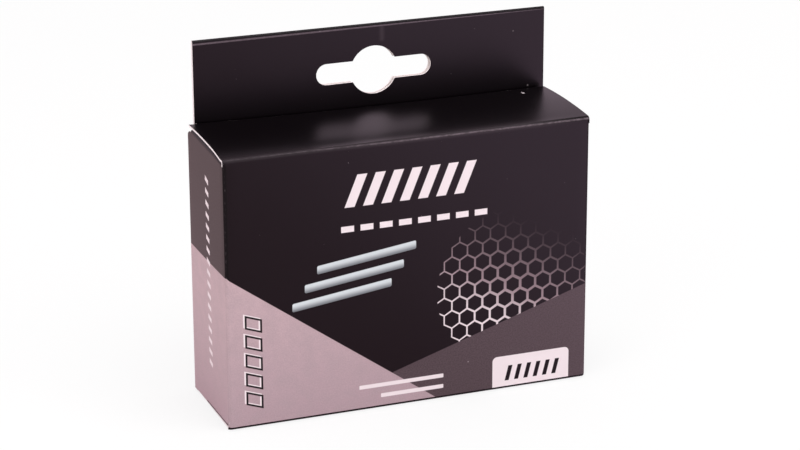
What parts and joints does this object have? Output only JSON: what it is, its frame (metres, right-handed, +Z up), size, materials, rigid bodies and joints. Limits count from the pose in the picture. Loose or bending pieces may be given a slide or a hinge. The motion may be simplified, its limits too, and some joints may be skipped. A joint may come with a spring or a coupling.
{
  "type": "hang-tab carton of spoke reflectors",
  "caption": "Black card carton with a tuck lid and base and a doubled hang tab with a euro slot, holding a nested stack of clip-on spoke reflectors.",
  "frame": {"origin": "middle of the carton's footprint, on the surface that its base rests on", "axes": "+X to the right across the front panel, +Y from the front panel to the back panel, +Z up"},
  "size_m": [0.1004, 0.0306, 0.0956],
  "materials": {
    "printed_card": "satin",
    "reflector_tube": "satin"
  },
  "bodies": {
    "carton": {"carton_body": "printed_card", "spoke_reflectors": "reflector_tube"},
    "lid": {"lid_flap": "printed_card"},
    "lid_tuck": {"lid_tongue": "printed_card"},
    "base": {"base_flap": "printed_card"},
    "base_tuck": {"base_tongue": "printed_card"}
  },
  "joints": [
    {"name": "lid_hinge", "type": "hinge", "parent": "carton", "child": "lid", "pos_m": [0, -0.01496, 0.07271], "axis": [1, 0, 0], "range_deg": [0, 135]},
    {"name": "lid_tongue_fold", "type": "hinge", "parent": "lid", "child": "lid_tuck", "pos_m": [0, 0.01313, 0.07235], "axis": [1, 0, 0], "range_deg": [-60, 2]},
    {"name": "base_hinge", "type": "hinge", "parent": "carton", "child": "base", "pos_m": [0, -0.01496, 0.00029], "axis": [-1, 0, 0], "range_deg": [0, 135]},
    {"name": "base_tongue_fold", "type": "hinge", "parent": "base", "child": "base_tuck", "pos_m": [0, 0.01375, 0.00065], "axis": [-1, 0, 0], "range_deg": [-60, 2]}
  ],
  "couplings": [
    {"joint": "lid_tongue_fold", "follows": "lid_hinge", "ratio": -0.4},
    {"joint": "base_tongue_fold", "follows": "base_hinge", "ratio": -0.4}
  ]
}
